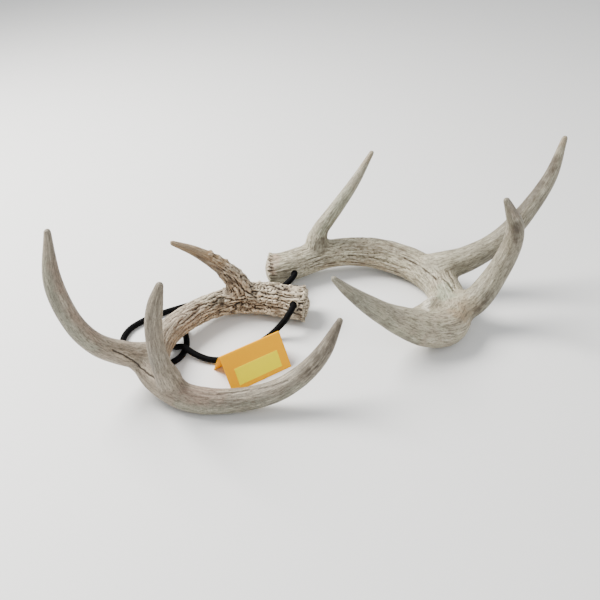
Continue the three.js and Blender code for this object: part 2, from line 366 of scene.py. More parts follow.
leftAntler = {
    "name": "left",
    "hole": ((-32, -5, 25), (-27.5, 30, 12.8)),
    "voxel": 0.83,
    "furrow": {"width": 3.6, "length": 17},
    "limbs": {
        "beam": [
            (-17, 5, 17.6, 15), (-28, 8.5, 17.8, 15.3), (-42, 16.5, 17.5, 15.4), (-60, 25, 16.5, 15.2),
            (-82, 28, 16, 13.6), (-108, 21, 17.5, 12), (-134, 2, 19.3, 11.6), (-151, -19, 19.4, 11.9),
            (-158, -44, 19, 12.1), (-154, -67, 15.5, 12.1), (-139, -86, 12, 11.5),
            (-117, -97, 11, 10.8), (-91, -102, 12, 9.8), (-64, -105, 18, 9.1), (-40, -104, 31, 8.4),
            (-21.5, -100, 48.5, 6.6), (-6.5, -93, 71.5, 2.6),
        ],
        "brow": [
            (-76, 27, 18, 12), (-81, 29, 36, 10.5), (-93, 30, 55, 7.8), (-113, 31, 73, 5.2),
            (-133, 31, 85.3, 2.4),
        ],
        "second": [
            (-157, -38, 19, 11.4), (-168, -48, 27, 11.2), (-181, -54, 37, 10.3), (-198, -60, 55, 8.9),
            (-210, -61, 80, 8), (-217, -53, 113, 7.1), (-215, -34.5, 146, 2.8),
        ],
        "third": [
            (-145, -79, 15, 11.4), (-145, -84, 30, 10.4), (-147.3, -87, 46, 8.3),
            (-148.2, -89, 66, 7.1), (-146.2, -89, 88, 6.7), (-142, -87, 105, 6),
            (-136.5, -84, 119, 3.2),
        ],
        "web": [  # fills the fork under the second tine
            (-184, -54, 36, 6.5), (-176, -54, 29.5, 7), (-168, -58.5, 24, 8), (-160, -69.5, 18.5, 9.3),
            (-150, -80, 15.5, 10),
        ],
    },
    # distance from the root: coarse, long channels, brown stain, greying, warmth, darkening
    "wear": {
        "beam": [
            (0, 0.9, 0.3, 0.8, 0.1, 0.4, 0), (60, 1, 0.4, 1, 0.1, 0.4, 0.07),
            (105, 0.8, 0.6, 0.9, 0.3, 0.4, 0.13), (150, 0.4, 0.7, 0.6, 0.35, 0.6, 0.25),
            (200, 0.2, 0.45, 0.3, 0.3, 0.7, 0.22), (240, 0.25, 0.4, 0.5, 0.4, 0.8, 0.28),
            (275, 0.25, 0.35, 0.4, 0.9, 0.3, 0.42), (330, 0.15, 0.3, 0.3, 1, 0.1, 0.45),
            (370, 0.1, 0.2, 0.4, 0.8, 0.3, 0.6), (440, 0, 0.1, 0.1, 0.8, 0, 0.8),
        ],
        "brow": [
            (0, 0.9, 0.5, 1, 0.1, 0.4, 0.07), (40, 0.55, 0.4, 0.9, 0, 0.7, 0.13),
            (62, 0.18, 0.4, 0.6, 0, 0.9, 0.2), (80, 0.05, 0.3, 0.4, 0, 1, 0.4),
            (120, 0, 0.1, 0, 0, 1, 0.25),
        ],
        "second": [
            (0, 0.3, 0.4, 0.3, 0.3, 0.8, 0.03), (50, 0.1, 0.25, 0.15, 0.6, 0.6, 0.2),
            (90, 0.05, 0.15, 0.1, 0.7, 0.5, 0.29), (160, 0, 0.1, 0, 0.8, 0.1, 0.55),
        ],
        "third": [
            (0, 0.3, 0.4, 0.3, 0.5, 0.5, 0.2), (40, 0.1, 0.3, 0.2, 0.7, 0.4, 0.42),
            (80, 0.03, 0.25, 0.1, 0.7, 0.2, 0.55), (112, 0, 0.1, 0, 0.9, 0, 0.75),
        ],
        "web": [(0, 0.15, 0.3, 0.2, 0.5, 0.6, 0.1), (60, 0.25, 0.4, 0.4, 0.5, 0.6, 0.1)],
    },
    "pearls": [  # limb, from, to, middle direction round the limb (degrees), spread, count, size
        ("brow", 14, 60, 0, 45, 60, 1.9), ("beam", 12, 82, 12, 42, 80, 1.9),
        ("beam", 12, 95, -70, 110, 120, 1.3),
        ("brow", 8, 40, -90, 120, 40, 1.2),
    ],
    # what lies on the surface: kind, strength, reach, and the line it follows
    "marks": [
        ("dark", 0.9, 7, [(-103, 17, 28), (-98, 15, 25)]),
        ("dark", 0.8, 5, [(-29, -7, 18), (-24, -6, 9)]),
        ("cut", 0.65, 1.2, [(-89, 21, 51), (-81, 20, 41), (-74, 19, 32), (-65, 14, 26)]),
        ("cut", 1.0, 1.3, [(-114, 4, 15), (-100, 11, 18), (-83, 15, 20)]),
        ("cut", 0.9, 1.3, [(-101, 12, 11), (-91, 17, 8), (-73, 14, 12)]),
        ("cut", 0.8, 1.2, [(-70, 12, 10), (-52, 5, 8), (-38, 0, 8)]),
        ("crack", 0.8, 0.9, [
            (-186, -64, 50), (-177, -63, 40), (-168, -66, 29), (-160, -74, 26), (-154, -80, 25)]),
        ("cut", 0.45, 1.1, [(-108, -101, 20), (-86, -103, 22), (-65, -107, 27), (-52, -109, 32)]),
        ("cut", 0.6, 1.1, [(-34, -111, 39), (-28, -109, 43)]),
        # pale marks on the top of the beam near the burr: partly pale bone, partly painted highlight
        ("pale", 0.9, 6, [(-27, 4, 33), (-24, 0, 28)]), ("pale", 0.5, 8, [(-60, 16, 30), (-45, 10, 32)]),
        ("pink", 0.8, 12, [(-127, -95, 22), (-110, -99, 22)]),
        ("pink", 0.5, 14, [(-135, -8, 28), (-122, 6, 26)]),
        ("pink", 0.6, 8, [(-214, -50, 125), (-205, -62, 94), (-194, -64, 66)]),
        ("green", 0.9, 7, [(-221, -52, 131), (-219, -64, 104), (-212, -72, 79), (-200, -74, 58)]),
        ("green", 0.8, 8, [
            (-141, -104, 10), (-121, -108, 8), (-91, -113, 9), (-60, -116, 14), (-40, -112, 26)]),
        ("green", 0.5, 7, [(-110, 17, 32), (-96, 14, 30)]),
        ("tan", 0.9, 12, [(-133, 29, 86), (-112, 30, 76), (-92, 30, 62)]),
        ("dark", 0.7, 6, [(-114, 26, 68), (-96, 22, 52), (-88, 18, 44)]),
        ("dark", 0.7, 9, [(-38, -108, 38), (-26, -105, 48), (-15, -99, 60), (-8, -94, 69)]),
    ],
    "seed": 11,
}

rightAntler = {
    "name": "right",
    "hole": ((-22, 55, 18.6), (-22, 87.6, 9.3)),
    "voxel": 0.93,
    "furrow": {"width": 2.8, "length": 36},
    "limbs": {
        "beam": [
            (-48, 71, 17.7, 15), (-37, 69.5, 18, 15.2), (-24, 71, 18.7, 15.3), (-10, 75, 19.5, 15.3),
            (12, 78, 22, 14.9), (36, 78, 22, 14.5), (60, 73, 21, 15.3), (82, 61, 19, 16),
            (101, 41, 17.5, 16.3), (112, 15, 17, 16.5), (113, -13, 17, 16.7), (109, -40, 17, 16.8),
            (96, -56, 17.6, 16.8), (76, -60, 23, 16), (56, -59, 33, 13.4), (38, -60, 46, 10.2),
            (19, -64, 65, 7.4), (4, -68, 82, 4.8), (-6.5, -70.7, 96, 2.6),
        ],
        "brow": [
            (4, 78, 24, 13), (6, 80, 39, 10.8), (9, 81.5, 46, 9.2), (13, 83, 53, 8.1),
            (30, 89, 71, 6.9), (50, 98, 92, 5.2), (69.5, 111, 113.8, 2.6),
        ],
        "second": [
            (104, 34, 19, 14.5), (122, 22, 29, 14), (143, 17, 37.5, 12.5), (170, 16, 53, 10.4),
            (192, 17, 78, 8.8), (213.5, 22, 111, 6.4), (223.3, 27, 145.5, 2.8),
        ],
        "third": [
            (108, -37, 18, 14.5), (130, -37, 29, 12.6), (147, -33, 50, 10.4), (158.5, -31, 77, 8.9),
            (158, -33, 99, 7.3), (150.5, -36, 115, 4.9), (142, -41, 129.5, 2.8),
        ],
        "web": [  # the ridge in the crook of the beam
            (102, -14, 19, 8), (95, -28, 24, 6.5), (89, -36, 28, 7.5), (80, -46, 30, 8.5),
            (68, -52, 30, 8.5),
        ],
    },
    "wear": {
        "beam": [
            (0, 0.39, 0.33, 0.6, 0.2, 0.7, 0.05), (14, 0.28, 0.88, 0.4, 0.6, 0.2, 0.1),
            (60, 0.35, 0.99, 0.7, 0.4, 0.3, 0.15), (120, 0.35, 0.99, 0.8, 0.3, 0.4, 0.25),
            (165, 0.32, 0.88, 0.7, 0.4, 0.3, 0.2), (200, 0.28, 0.77, 0.5, 0.6, 0.2, 0.15),
            (245, 0.17, 0.44, 0.3, 0.3, 0.7, 0.1), (300, 0.13, 0.495, 0.3, 0.5, 0.5, 0.2),
            (360, 0.08, 0.385, 0.3, 0.6, 0.3, 0.3), (410, 0, 0.11, 0, 0.9, 0, 0.6),
        ],
        "brow": [
            (0, 0.35, 0.88, 0.8, 0.6, 0.1, 0.2), (40, 0.21, 0.66, 0.6, 0.7, 0.1, 0.3),
            (80, 0.07, 0.385, 0.3, 0.7, 0.2, 0.35), (130, 0, 0.165, 0, 0.8, 0.1, 0.5),
        ],
        "second": [
            (0, 0.28, 0.55, 0.4, 0.6, 0.2, 0.1), (60, 0.1, 0.385, 0.25, 0.8, 0.1, 0.45),
            (110, 0.07, 0.275, 0.2, 0.8, 0.2, 0.7), (170, 0, 0.11, 0.1, 0.6, 0.5, 0.5),
        ],
        "third": [
            (0, 0.21, 0.55, 0.4, 0.6, 0.2, 0.15), (60, 0.08, 0.385, 0.2, 0.8, 0.2, 0.5),
            (100, 0.06, 0.275, 0.2, 0.6, 0.6, 0.6), (150, 0, 0.11, 0, 0.9, 0, 0.9),
        ],
        "web": [(0, 0.2, 0.5, 0.3, 0.3, 0.5, 0.1), (60, 0.15, 0.4, 0.3, 0.3, 0.6, 0.1)],
    },
    "pearls": [("beam", 12, 60, 0, 150, 50, 1.0), ("brow", 14, 50, 0, 60, 20, 1.1)],
    "marks": [
        ("dark", 0.75, 8, [(6, 69, 36), (12, 72, 41), (18, 77, 47)]),
        ("dark", 0.6, 7, [(83, 51, 33), (90, 41, 31)]),
        ("cut", 0.5, 1.3, [(0, 61, 18), (26, 63, 19), (50, 59, 14), (70, 48, 12), (86, 33, 11)]),
        ("cut", 0.45, 1.2, [(-6, 62, 24), (24, 66, 27), (48, 64, 25), (70, 54, 22), (88, 36, 21)]),
        ("tan", 0.6, 9, [(10, 63, 14), (36, 63, 12), (62, 54, 10), (84, 36, 9)]),
        ("cut", 0.8, 1.3, [(86, 40, 32), (96, 22, 32), (103, 2, 33), (104, -14, 33)]),
        ("cut", 0.6, 1.2, [(108, 0, 33), (112, -12, 33), (113, -26, 33)]),
        ("cut", 0.5, 1.0, [(118, 6, 33), (119, -8, 33), (116, -22, 32)]),
        ("green", 0.9, 10, [(106, -16, 34), (102, -30, 34)]),
        # pale mark along the top of the ridge in the crook: partly pale bone, partly painted highlight
        ("pale", 0.9, 4, [(92, -24, 30), (84, -40, 34), (78, -52, 38)]),
        ("tan", 0.7, 10, [(104, -58, 32), (114, -56, 24)]),
        ("tan", 0.5, 9, [(118, -44, 32), (126, -46, 30)]),
        ("dark", 0.9, 7, [(137, -46, 38), (130, -49, 26), (124, -51, 17)]),
        ("dark", 1.0, 6, [(155, -41, 103), (159, -40, 92)]),
        ("pink", 0.9, 7, [(153, -40, 116), (148, -40, 124)]),
        ("pink", 0.6, 9, [(152, -30, 60), (158, -26, 80)]),
        ("dark", 0.95, 7, [(178, 16, 72), (192, 18, 92), (206, 20, 112), (214, 23, 128)]),
        ("pink", 0.6, 6, [(200, 26, 80), (213, 27, 104), (220, 30, 126)]),
        ("tan", 0.9, 8, [(222, 28, 140), (223, 28, 150)]),
        ("green", 0.7, 8, [(40, 90, 84), (24, 80, 66), (12, 74, 52)]),
        ("pink", 0.6, 6, [(40, 99, 72), (24, 92, 56), (18, 88, 44)]),
        ("green", 0.5, 8, [(7, -72, 75), (33, -72, 40), (60, -74, 18)]),
        ("dark", 0.7, 6, [(2, -70, 80), (20, -70, 56), (40, -70, 34), (62, -74, 12)]),
        ("dark", 0.6, 8, [(40, 66, 33), (58, 60, 34), (74, 54, 33)]),
        ("dark", 0.5, 7, [(150, 10, 36), (168, 10, 46)]),
        ("tan", 0.8, 7, [(68, 111, 114), (60, 105, 104)]),
        ("pink", 0.7, 9, [(-44, 60, 26), (-42, 66, 34)]),
    ],
    "seed": 23,
}

limbShape = {
    "sides": 48,
    "step": 1.0,
    # distance from the root, and how far the burr stands out there
    "burr": [(0, -6.5), (0.9, -3.4), (2.4, -1), (4.4, 0.5), (7, 0.9), (10, 0.6), (15, 0)],
    "seal": 2.2,  # height of the domed seal inside the burr
    "tipLeans": (0.35, 0.7, 1.05, 1.35),  # radians, one for each ring of the round tip
    "forkReach": 15.0,  # how far from both skins a crotch is filled
    "forkRounds": 5,
    "grainRadius": (13, 9),  # of a beam and of a tine, to which the grain is drawn
    "blend": 1.8,  # how softly two limbs share the skin between them
    "rootFade": (3, 12),  # distances from its root over which a tine takes over from the beam
}


def readLimb(row):
    line, places = evenLine(smoothLine(row, 16, 0), limbShape["step"])
    middle = line[:, :3]
    along = np.gradient(middle, axis=0)
    along /= np.linalg.norm(along, axis=1)[:, None]
    across = np.empty_like(along)
    last = np.array([0, 0, 1.0])
    for index, direction in enumerate(along):
        last = last - direction * last.dot(direction)
        last = last / np.linalg.norm(last)
        across[index] = last
    return {"middle": middle, "radius": line[:, 3], "places": places, "along": along, "across": across,
            "side": np.cross(along, across)}


def limbTube(limb, burr):
    angles = np.linspace(0, 2 * math.pi, limbShape["sides"], endpoint=False)[None, :, None]
    radius = limb["radius"].copy()
    if burr:
        reach, standsOut = zip(*limbShape["burr"])
        radius += np.interp(limb["places"], reach, standsOut)
    outwards = limb["across"][:, None] * np.cos(angles) + limb["side"][:, None] * np.sin(angles)
    rings = limb["middle"][:, None] + radius[:, None, None] * outwards
    centre, ahead = limb["middle"][-1], limb["along"][-1] * radius[-1]
    ends = [centre + (rings[-1] - centre) * math.cos(lean) + ahead * math.sin(lean)
            for lean in limbShape["tipLeans"]]
    rings = np.vstack([rings, ends])
    count, sides = rings.shape[:2]
    start = limb["middle"][0] - limb["along"][0] * (limbShape["seal"] if burr else radius[0] / 2)
    vertices = np.vstack([rings.reshape(-1, 3), start, centre + ahead])
    faces = []
    for ring, corner in itertools.product(range(count - 1), range(sides)):
        a, b = ring * sides + corner, ring * sides + (corner + 1) % sides
        faces.append((a, b, b + sides, a + sides))
    last = (count - 1) * sides
    for corner in range(sides):
        following = (corner + 1) % sides
        faces.append((count * sides, following, corner))
        faces.append((count * sides + 1, last + corner, last + following))
    return vertices, faces


def joinParts(parts):
    vertices, faces, offset = [], [], 0
    for points, polygons in parts:
        vertices.append(points)
        faces += [tuple(i + offset for i in polygon) for polygon in polygons]
        offset += len(points)
    return np.vstack(vertices), faces


# pearls: round grains of bone that stand on the rough parts


def pearlTree():
    tree, given = newTree("pearls", {"Subdivisions": "Int", "Seed": "Int"})
    grain = addNode(tree, "GeometryNodeMeshIcoSphere", {"Radius": 1.0, "Subdivisions": given["Subdivisions"]})
    size = addNode(tree, "GeometryNodeInputNamedAttribute", {"Name": "size"}, data_type="FLOAT")
    stretch, turn = (
        addNode(tree, "FunctionNodeRandomValue", {
            "Min": low, "Max": high, "Seed": given["Seed"]}, data_type="FLOAT_VECTOR").outputs[0]
        for low, high in (((0.8, 0.8, 0.8), (1.35, 1.15, 1.0)), ((0, 0, 0), (6.28, 6.28, 6.28))))
    scale = addNode(tree, "ShaderNodeVectorMath", {
        0: stretch, "Scale": size.outputs["Attribute"]}, operation="SCALE")
    placed = addNode(tree, "GeometryNodeInstanceOnPoints", {
        "Points": given["Geometry"], "Instance": grain.outputs["Mesh"], "Scale": scale.outputs[0],
        "Rotation": turn})
    endTree(tree, placed.outputs["Instances"], given["Material"])
    return tree


burrShape = {
    "knobs": 29,
    "knobSize": 1.95,
    "at": 4.2,
    "second": 8.6,
    "gaps": 27,  # clefts between the knobs
    "gapReach": 4.4,
    "gapDepth": 1.25,
}


def pearlSpots(antler, limbs):
    rng = np.random.default_rng(antler["seed"])
    spots, sizes = [], []

    def add(limb, distance, angle, lift, size):
        index = min(int(distance / limbShape["step"]), len(limb["places"]) - 1)
        radius = limb["radius"][index]
        out = limb["across"][index] * math.cos(angle) + limb["side"][index] * math.sin(angle)
        spots.append(limb["middle"][index] + out * (radius + lift))
        sizes.append(size)

    beam = limbs["beam"]
    for knob in range(burrShape["knobs"]):  # the coronet
        angle = 2 * math.pi * (knob + rng.uniform(-0.3, 0.3)) / burrShape["knobs"]
        size = burrShape["knobSize"] * rng.uniform(0.75, 1.15)
        add(beam, burrShape["at"] + rng.uniform(-1.2, 0.8), angle, 0.9, size)
        add(beam, burrShape["second"] + rng.uniform(-1, 1.8), angle + 0.16, 0, size * rng.uniform(0.5, 0.8))
    for name, start, end, middle, spread, count, size in antler["pearls"]:
        for _ in range(count):
            angle = math.radians(middle + rng.uniform(-spread, spread))
            grain = size * rng.uniform(0.55, 1.25)
            add(limbs[name], rng.uniform(start, end), angle, -0.25 * grain, grain)
    return np.array(spots), np.array(sizes)


def pearlMesh(antler, limbs, material):
    spots, sizes = pearlSpots(antler, limbs)
    thing = newObject("pearlSpots", plainMesh("pearlSpots", spots, []))
    store(thing.data, "size", sizes * mm)
    useTree(thing, pearlTree(), {"Subdivisions": 3, "Seed": antler["seed"], "Material": material})
    mesh = settle(thing)
    points = vertexPlaces(mesh)
    faces = [tuple(polygon.vertices) for polygon in mesh.polygons]
    bpy.data.objects.remove(thing)
    return points, faces


# noise, in numpy, so that the same furrow shapes the surface and colours it


def gradientNoise(points, seed):
    cell = np.floor(points).astype(np.int64)
    inside = points - cell
    ease = inside**3 * (inside * (inside * 6 - 15) + 10)
    total = np.zeros(len(points))
    for corner in itertools.product((0, 1), repeat=3):
        spot = cell + corner
        mix = (spot[:, 0] * 73856093) ^ (spot[:, 1] * 19349663) ^ (spot[:, 2] * 83492791)
        mix = mix ^ (seed * 2654435761)
        mix = ((mix & 0xFFFFFFFF) ^ (mix >> 13 & 0x7FFFF)) * 1274126177 & 0xFFFFFFFF
        mix = mix ^ (mix >> 16)
        angle = (mix & 0xFFFF) * (2 * math.pi / 65536)
        height = (mix >> 8 & 0xFFFF) / 32768 - 1
        flat = np.sqrt(np.maximum(1 - height**2, 0))
        away = inside - corner
        slope = away[:, 0] * flat * np.cos(angle) + away[:, 1] * flat * np.sin(angle) + away[:, 2] * height
        weight = np.prod(np.where(corner, ease, 1 - ease), axis=1)
        total += slope * weight
    return total * 1.5


def smoothStep(low, high, value):
    share = np.clip((value - low) / (high - low), 0, 1)
    return share * share * (3 - 2 * share)


def stretched(grain, width, length, seed):
    return gradientNoise(grain / np.array([width, width, length]), seed)


def valleys(grain, width, length, narrow, seed):  # thin wandering lines that run along the limb
    return 1 - smoothStep(0, narrow, np.abs(stretched(grain, width, length, seed)))


def readOn(limb, points):  # where each point is along, round and off a limb
    nearest = np.empty(len(points), int)
    for start in range(0, len(points), 4000):
        block = points[start:start + 4000]
        far = ((block[:, None] - limb["middle"][None])**2).sum(axis=2)
        nearest[start:start + 4000] = far.argmin(axis=1)
    away = points - limb["middle"][nearest]
    ahead = (away * limb["along"][nearest]).sum(axis=1)
    place = limb["places"][nearest] + ahead
    away = away - limb["along"][nearest] * ahead[:, None]
    sideways = (away * limb["side"][nearest]).sum(axis=1)
    upwards = (away * limb["across"][nearest]).sum(axis=1)
    radius = np.interp(place, limb["places"], limb["radius"])
    return place, np.arctan2(sideways, upwards), np.linalg.norm(away, axis=1), radius


reliefShape = {
    "lump": 0.7,  # heights in mm
    "channel": 0.85,
    "furrow": 1.9,
    "crumble": 0.9,
    "pit": 1.1,
    "line": 0.22,
    "cut": 1.1,
}
patternShape = {  # width and length in mm, the length along the limb
    "drift": (12, 30),
    "swell": (9, 45),
    "knob": (4.2, 8),
    "channel": (3.0, 60),
    "sideChannel": (2.0, 34),
    "crumble": (2.1, 3.6),
    "crumblePatch": (5, 7),
    "pit": (1.9, 2.8),
    "line": (1.5, 20),
}


def limbRelief(place, angle, reach, wear, style, seed):
    grain = np.stack([reach * np.cos(angle), reach * np.sin(angle), place], axis=1)
    bent = grain + stretched(grain, *patternShape["drift"], seed)[:, None] * np.array([2.5, 2.5, 0])
    coarse, channel = wear[:, 0], wear[:, 1]
    lump = stretched(grain, *patternShape["swell"], seed + 1) * (0.4 + coarse)
    lump = lump + stretched(bent, *patternShape["knob"], seed + 9) * coarse**1.3
    longLine = valleys(bent, *patternShape["channel"], 0.26, seed + 2)
    nextLine = valleys(bent, *patternShape["sideChannel"], 0.3, seed + 8)
    patches = smoothStep(-0.3, 0.25, stretched(grain, 7, style["length"] * 1.2, seed + 4))
    furrow = valleys(bent, style["width"], style["length"], 0.4, seed + 3) * patches
    patches = smoothStep(-0.3, 0.2, stretched(grain, *patternShape["crumblePatch"], seed + 6))
    crumble = valleys(bent, *patternShape["crumble"], 0.4, seed + 5) * patches
    pit = smoothStep(0.22, 0.6, stretched(bent, *patternShape["pit"], seed + 10))
    line = stretched(bent, *patternShape["line"], seed + 7)
    height = reliefShape["lump"] * lump
    height = height - reliefShape["channel"] * channel * (longLine + 0.6 * nextLine) * (0.15 + coarse)
    height = height - reliefShape["furrow"] * coarse**1.4 * furrow
    height = height - reliefShape["crumble"] * coarse**2 * crumble
    height = height - reliefShape["pit"] * coarse**1.5 * pit
    height = height + reliefShape["line"] * line * (0.1 + channel * (0.3 + coarse))
    return height + reliefShape["furrow"] * 0.3 * coarse**1.4, grain


def burrClefts(place, angle, inward, seed):
    turn = np.stack([3 * np.cos(angle), 3 * np.sin(angle), place / 7], axis=1)
    wave = np.sin(burrShape["gaps"] * angle / 2 + 2.2 * gradientNoise(turn, seed))
    cleft = 1 - smoothStep(0.08, 0.62, np.abs(wave))
    near = np.exp(-((place - burrShape["at"]) / burrShape["gapReach"])**2) * smoothStep(0.72, 0.95, inward)
    return burrShape["gapDepth"] * cleft * near


def neighbourMean(edges, values, rounds, share):
    # each round moves every row towards the mean of its neighbours
    total = len(values)
    first, second = edges.T
    count = np.bincount(edges.ravel(), minlength=total)
    for _ in range(rounds):
        sums = [np.bincount(first, column[second], total) + np.bincount(second, column[first], total)
                for column in values.T]
        values = values + (np.stack(sums, axis=1) / count[:, None] - values) * share
    return values


def moveVertices(mesh, points):
    mesh.vertices.foreach_set("co", (points * mm).ravel())
    mesh.update()


def lineDistance(points, line):  # to a line of places first laid onto the surface
    rough = evenLine(np.array(line, float), 2.0)[0]
    snapped = np.array([points[((points - spot)**2).sum(axis=1).argmin()] for spot in rough])
    nearest = np.full(len(points), np.inf)
    for first, last in zip(snapped[:-1], snapped[1:]):
        span = last - first
        share = np.clip((points - first) @ span / max(span @ span, 1e-6), 0, 1)
        nearest = np.minimum(nearest, np.linalg.norm(points - first - share[:, None] * span, axis=1))
    return nearest


def store(mesh, name, values):  # one number or three on each point
    values = np.asarray(values, np.float32)
    kind, field = ("FLOAT", "value") if values.ndim == 1 else ("FLOAT_VECTOR", "vector")
    mesh.attributes.new(name, kind, "POINT").data.foreach_set(field, values.ravel())


def fillCrotches(mesh, limbs):
    points = vertexPlaces(mesh)
    gaps = {}
    for key, limb in limbs.items():
        place, _, off, radius = readOn(limb, points)
        gaps[key] = np.abs(off - radius) + np.where(place < 4, 20, 0) * (key != "beam")
    tines = np.minimum.reduce([gaps[key] for key in gaps if key != "beam"])
    near = 1 - smoothStep(3, limbShape["forkReach"], np.maximum(gaps["beam"], tines))
    edges = readAll(mesh.edges, "vertices", 2, np.int32)
    for _ in range(limbShape["forkRounds"]):
        normals = vertexNormals(mesh)
        eased = neighbourMean(edges, points, 30, 0.7)
        outwards = ((eased - points) * normals).sum(axis=1)
        step = np.clip(outwards, 0, None) * near
        step = neighbourMean(edges, step[:, None], 4, 0.5)
        points = points + normals * step
        points = points + (neighbourMean(edges, points, 3, 0.6) - points) * near[:, None]
        moveVertices(mesh, points)


def voxelRemesh(thing, size):
    remesh = thing.modifiers.new("even", "REMESH")
    remesh.mode = "VOXEL"
    remesh.voxel_size = size * mm


drillShape = {
    "radius": 3.5,
    "length": 90,
    "segments": 40,
    "clear": (3.6, 5.2),  # the relief fades in between these distances from the hole's line
}


def drillCylinder(hole):
    mouth, exit = (Vector(point) * mm for point in hole)
    turn = (exit - mouth).to_track_quat("Z", "Y").to_matrix().to_4x4()
    radius = drillShape["radius"] * mm
    shell = bmesh.new()
    bmesh.ops.create_cone(
        shell, cap_ends=True, segments=drillShape["segments"], radius1=radius, radius2=radius,
        depth=drillShape["length"] * mm, matrix=Matrix.Translation(mouth) @ turn)
    mesh = bpy.data.meshes.new("drill")
    shell.to_mesh(mesh)
    shell.free()
    return newObject("drill", mesh)


def holeDistance(points, hole):  # to the hole's middle line
    mouth, exit = (np.array(point, float) for point in hole)
    way = (exit - mouth) / np.linalg.norm(exit - mouth)
    fromMouth = points - mouth
    return np.linalg.norm(fromMouth - (fromMouth @ way)[:, None] * way, axis=1)


def antlerSkin(antler, limbs, material):
    name = antler["name"] + "AntlerBone"
    parts = [limbTube(limb, key == "beam") for key, limb in limbs.items()]
    thing = newObject(name, plainMesh(name, *joinParts(parts)))
    voxelRemesh(thing, antler["voxel"])
    fillCrotches(settle(thing), limbs)

    # pearls go on, the hole is drilled, and all becomes one even skin again
    pearls = newObject("pearls", plainMesh("pearls", *pearlMesh(antler, limbs, material)))
    drill = drillCylinder(antler["hole"])
    both = bmesh.new()
    both.from_mesh(thing.data)
    both.from_mesh(pearls.data)
    both.to_mesh(thing.data)
    both.free()
    voxelRemesh(thing, antler["voxel"])
    cut = thing.modifiers.new("hole", "BOOLEAN")
    cut.operation = "DIFFERENCE"
    cut.solver = "EXACT"
    cut.object = drill
    voxelRemesh(thing, antler["voxel"])
    settle(thing)
    bpy.data.objects.remove(drill)
    bpy.data.objects.remove(pearls)
    return thing


def limbShares(antler, limbs, points):
    # how much each limb has a say at every point, and the height, wear and grain that it gives there
    shares, heights, wears, grains = [], [], [], []
    for number, (key, limb) in enumerate(limbs.items()):
        place, angle, off, radius = readOn(limb, points)
        table = np.array(antler["wear"][key])
        wear = np.stack([np.interp(place, table[:, 0], column) for column in table.T[1:]], axis=1)
        inward = np.minimum(off / radius, 1)
        reach = inward * limbShape["grainRadius"][key != "beam"]
        height, grain = limbRelief(place, angle, reach, wear, antler["furrow"], antler["seed"] + 20 * number)
        share = np.exp(-np.maximum(off - radius, 0) / limbShape["blend"])
        if key == "beam":
            height = height - burrClefts(place, angle, inward, antler["seed"])
        else:
            share = share * smoothStep(*limbShape["rootFade"], place)
        shares.append(share + 1e-9)
        heights.append(height)
        wears.append(wear)
        grains.append(grain)
    shares = np.array(shares)
    return shares / shares.sum(axis=0), heights, wears, grains


def surfaceMarks(antler, points):
    seed = antler["seed"]
    ragged = gradientNoise(points / 6, seed + 90) * 0.5 + gradientNoise(points / 2.5, seed + 91) * 0.25
    broken = smoothStep(-0.7, 0.1, gradientNoise(points / 7, seed + 92))  # cuts stop and start
    marks = {kind: np.zeros(len(points)) for kind in ("cut", "crack", "dark", "pale", "green", "pink", "tan")}
    for kind, strength, reach, line in antler["marks"]:
        far = lineDistance(points, line) / reach
        far = far + ragged * {"cut": 0.6, "crack": 0.3}.get(kind, 0.9)
        whole = broken if kind == "cut" else 1
        marks[kind] = np.maximum(marks[kind], strength * whole * (1 - smoothStep(0.35, 1.1, far)))
    marks["cut"] = np.maximum(marks["cut"], marks.pop("crack"))
    return marks


def antlerMesh(antler, material):
    limbs = {name: readLimb(row) for name, row in antler["limbs"].items()}
    thing = antlerSkin(antler, limbs, material)
    mesh = thing.data
    edges = readAll(mesh.edges, "vertices", 2, np.int32)
    points = neighbourMean(edges, vertexPlaces(mesh), 2, 0.5)
    moveVertices(mesh, points)

    # relief
    shares, heights, wears, grains = limbShares(antler, limbs, points)
    marks = surfaceMarks(antler, points)
    height = (shares * heights).sum(axis=0) - reliefShape["cut"] * marks["cut"]
    height = height * smoothStep(*drillShape["clear"], holeDistance(points, antler["hole"]))
    points = points + vertexNormals(mesh) * height[:, None]
    points[:, 2] = np.maximum(points[:, 2], 0.1)
    moveVertices(mesh, points)

    # hollows and ridges, fine and broad, colour the bone: brown in the hollows is partly stain held in the
    # furrows and partly painted shade in recesses and crotches; cream on the ridges is partly pale worn bone
    # and partly painted highlight
    normals = vertexNormals(mesh)
    for name, rounds, depth in (("hollow", 5, 0.22), ("dip", 28, 0.8)):
        sunk = ((neighbourMean(edges, points, rounds, 0.8) - points) * normals).sum(axis=1)
        store(mesh, name, sunk / depth)
    for kind, values in marks.items():
        store(mesh, kind, values)
    wear = (shares[:, :, None] * wears).sum(axis=0)
    for name, values in zip(("coarse", "channel", "stain", "greying", "warmth", "darkening"), wear.T):
        store(mesh, name, values)
    tine = shares[1:].argmax(axis=0)
    store(mesh, "tineShare", 1 - shares[0])
    store(mesh, "grainBeam", grains[0])
    store(mesh, "grainTine", np.array(grains[1:])[tine, np.arange(len(points))])
    mesh.materials.clear()
    mesh.materials.append(material)
    shadeSmooth(mesh)
    return thing


# bone

